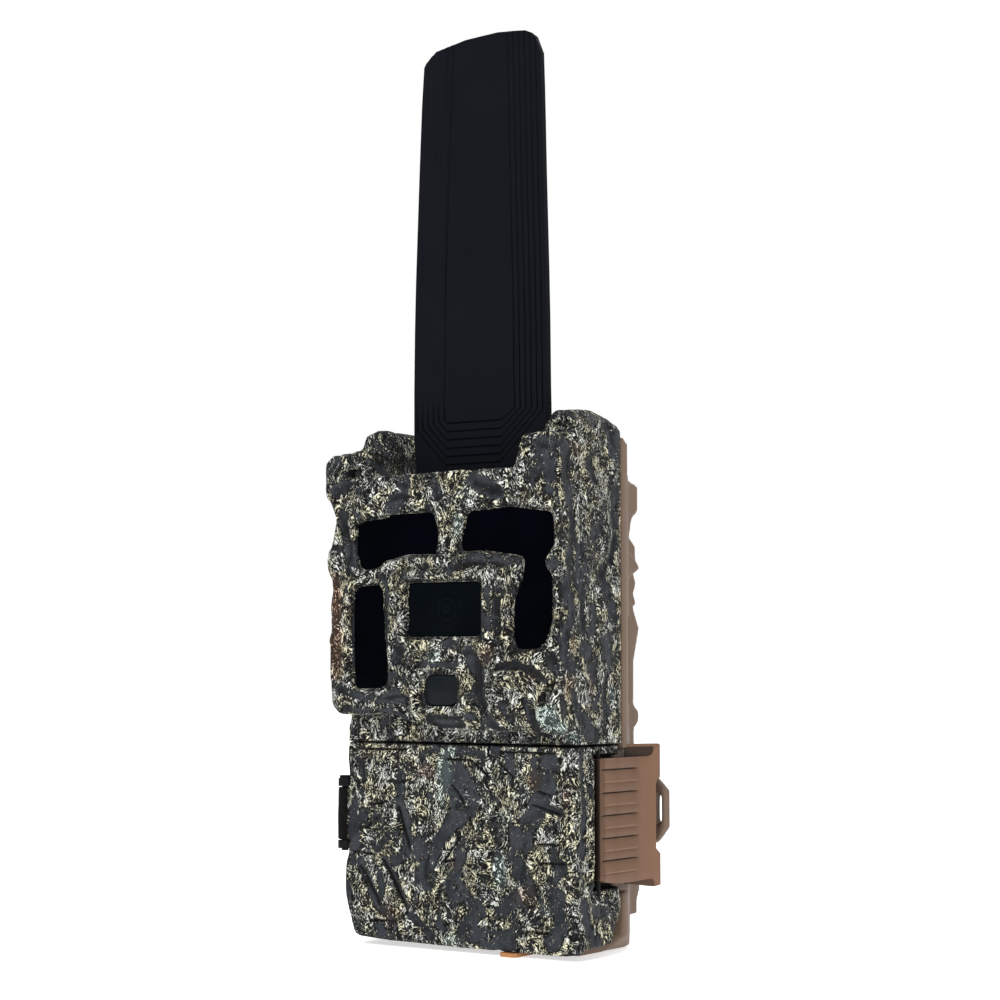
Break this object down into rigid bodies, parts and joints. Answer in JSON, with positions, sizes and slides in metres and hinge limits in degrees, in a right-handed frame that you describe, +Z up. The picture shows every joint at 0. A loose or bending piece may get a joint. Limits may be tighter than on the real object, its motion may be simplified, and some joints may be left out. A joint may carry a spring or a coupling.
{
  "type": "trail camera",
  "caption": "Bark-camouflaged trail camera with a folding paddle antenna, a side-hinged door with a latch lever, a pull-out battery tray and a rear tree bracket.",
  "frame": {"origin": "centre of the flat base that the camera stands on, on the underside of the closed battery tray", "axes": "+Z up towards the antenna's tip, lens faces -Y, +X to the viewer's right when facing the lens"},
  "size_m": [0.095, 0.0733, 0.2799],
  "materials": {
    "camo_shell": "moulded bark camouflage, satin",
    "brown_shell": "fine moulded grain, satin",
    "black_satin": "satin black",
    "dark_plastic": "matte",
    "ir_filter": "polished infrared filter",
    "lens_pane": "polished dark pane",
    "fresnel": "frosted",
    "rubber": "matte",
    "steel": "plated",
    "brass": "turned",
    "board": "solder mask",
    "chip": "moulded package",
    "glass": "polished",
    "panel_grey": "fine grain",
    "button_grey": "silicone",
    "display": "display glass",
    "cell_jacket": "printed sleeve, plain",
    "led_clear": "moulded lens"
  },
  "bodies": {
    "housing": {"front_housing": "camo_shell", "rear_housing": "brown_shell", "housing_gasket": "rubber", "ir_window_top_left": "ir_filter", "ir_window_side": "ir_filter", "ir_window_right": "ir_filter", "lens_window": "lens_pane", "pir_lens": "fresnel", "hinge_bracket": "dark_plastic", "hinge_pin": "steel", "hinge_screws": "steel", "control_panel": "panel_grey", "panel_screws": "steel", "display_window": "display", "display_module": "chip", "control_board": "board", "sd_socket": "steel", "sim_socket": "steel", "dc_jack": "dark_plastic", "jack_cover_rivet": "steel", "antenna_hinge_block": "dark_plastic", "antenna_pin": "steel", "antenna_coax": "rubber", "power_lead": "rubber", "board_connectors": "brass", "lens_barrel": "dark_plastic", "lens_elements": "glass", "lens_holder": "dark_plastic", "image_sensor": "chip", "camera_board": "board", "ir_led_board": "board", "ir_leds": "led_clear", "motion_sensor": "steel", "microphone": "chip", "main_board": "board", "modem_module": "steel", "processor": "chip", "tree_bracket": "brown_shell", "tripod_insert": "brass", "case_screws": "steel"},
    "door": {"front_door": "camo_shell", "door_gasket": "rubber", "latch_pin": "steel"},
    "latch": {"latch_lever": "brown_shell"},
    "tray": {"battery_tray": "dark_plastic", "aa_cells": "cell_jacket", "battery_contacts": "steel"},
    "catch": {"tray_catch": "brown_shell"},
    "antenna": {"antenna_paddle": "black_satin"},
    "jack_flap": {"jack_cover": "rubber"},
    "card": {"memory_card": "chip"},
    "sim": {"sim_card": "dark_plastic"},
    "ir_cut": {"ir_cut_filter": "glass"},
    "switch": {"power_switch": "button_grey"},
    "ok": {"ok_button": "button_grey"},
    "up": {"up_button": "button_grey"},
    "down": {"down_button": "button_grey"},
    "left": {"left_button": "button_grey"},
    "right": {"right_button": "button_grey"},
    "menu": {"menu_button": "button_grey"}
  },
  "joints": [
    {"name": "door_hinge", "type": "hinge", "parent": "housing", "child": "door", "pos_m": [-0.0442, -0.029, 0.0396], "axis": [0, 0, -1], "range_deg": [0, 110]},
    {"name": "latch_pivot", "type": "hinge", "parent": "door", "child": "latch", "pos_m": [0.0402, -0.0169, 0.0392], "axis": [0, 0, -1], "range_deg": [0, 95]},
    {"name": "tray_slide", "type": "slide", "parent": "housing", "child": "tray", "axis": [0, 0, -1], "range_m": [0, 0.052]},
    {"name": "catch_slide", "type": "slide", "parent": "tray", "child": "catch", "axis": [0, -1, 0], "range_m": [0, 0.0025], "stiffness_N_per_m": 400},
    {"name": "antenna_hinge", "type": "hinge", "parent": "housing", "child": "antenna", "pos_m": [0, -0.0115, 0.1505], "axis": [-1, 0, 0], "range_deg": [0, 90]},
    {"name": "jack_cover_swivel", "type": "hinge", "parent": "housing", "child": "jack_flap", "pos_m": [-0.0372, 0.0082, 0.0012], "axis": [0, 0, -1], "range_deg": [0, 100]},
    {"name": "card_slide", "type": "slide", "parent": "housing", "child": "card", "axis": [1, 0, 0], "range_m": [-0.001, 0.002]},
    {"name": "sim_slide", "type": "slide", "parent": "housing", "child": "sim", "axis": [1, 0, 0], "range_m": [-0.001, 0.002]},
    {"name": "ir_cut_slide", "type": "slide", "parent": "housing", "child": "ir_cut", "axis": [1, 0, 0], "range_m": [0, 0.006]},
    {"name": "power_switch_slide", "type": "slide", "parent": "housing", "child": "switch", "axis": [1, 0, 0], "range_m": [-0.0044, 0.0044]},
    {"name": "ok_press", "type": "slide", "parent": "housing", "child": "ok", "axis": [0, 1, 0], "range_m": [0, 0.0008], "stiffness_N_per_m": 900},
    {"name": "up_press", "type": "slide", "parent": "housing", "child": "up", "axis": [0, 1, 0], "range_m": [0, 0.0008], "stiffness_N_per_m": 900},
    {"name": "down_press", "type": "slide", "parent": "housing", "child": "down", "axis": [0, 1, 0], "range_m": [0, 0.0008], "stiffness_N_per_m": 900},
    {"name": "left_press", "type": "slide", "parent": "housing", "child": "left", "axis": [0, 1, 0], "range_m": [0, 0.0008], "stiffness_N_per_m": 900},
    {"name": "right_press", "type": "slide", "parent": "housing", "child": "right", "axis": [0, 1, 0], "range_m": [0, 0.0008], "stiffness_N_per_m": 900},
    {"name": "menu_press", "type": "slide", "parent": "housing", "child": "menu", "axis": [0, 1, 0], "range_m": [0, 0.0008], "stiffness_N_per_m": 900}
  ]
}
